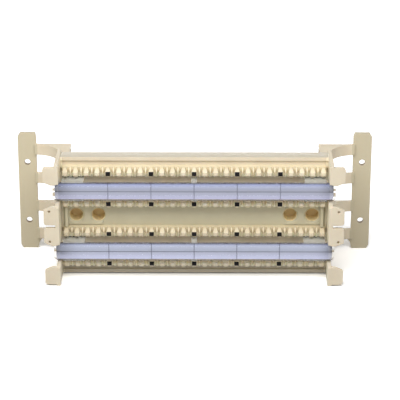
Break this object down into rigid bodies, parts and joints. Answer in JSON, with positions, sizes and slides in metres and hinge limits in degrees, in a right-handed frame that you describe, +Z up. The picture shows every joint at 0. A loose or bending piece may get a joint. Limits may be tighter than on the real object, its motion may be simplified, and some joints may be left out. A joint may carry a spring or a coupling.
{
  "type": "punch down wiring block",
  "caption": "Wall-mounted wiring block with toothed index strips on a moulded base, stand-off legs with screw feet, and clear clip-on label holders.",
  "frame": {"origin": "centre of the four foot screws, on the wall plane", "axes": "+X along the index strips, +Z up, +Y into the wall, so the block stands in front of the wall at negative Y"},
  "size_m": [0.26, 0.0752, 0.0906],
  "materials": {
    "base_ivory": "fine moulded matte",
    "strip_ivory": "smooth moulded",
    "leg_ivory": "fine moulded matte",
    "clear_holder": "clear gloss",
    "label_violet": "printed paper"
  },
  "bodies": {
    "block": {"wiring_base": "base_ivory", "index_strip_1": "strip_ivory", "index_strip_2": "strip_ivory", "index_strip_3": "strip_ivory", "index_strip_4": "strip_ivory", "leg_left": "leg_ivory", "leg_right": "leg_ivory"},
    "upper_holder": {"label_holder_upper": "clear_holder", "label_upper": "label_violet"},
    "lower_holder": {"label_holder_lower": "clear_holder", "label_lower": "label_violet"}
  },
  "joints": [
    {"name": "upper_holder_pull", "type": "slide", "parent": "block", "child": "upper_holder", "axis": [0, -1, 0], "range_m": [0, 0.03]},
    {"name": "lower_holder_pull", "type": "slide", "parent": "block", "child": "lower_holder", "axis": [0, -1, 0], "range_m": [0, 0.03]}
  ]
}
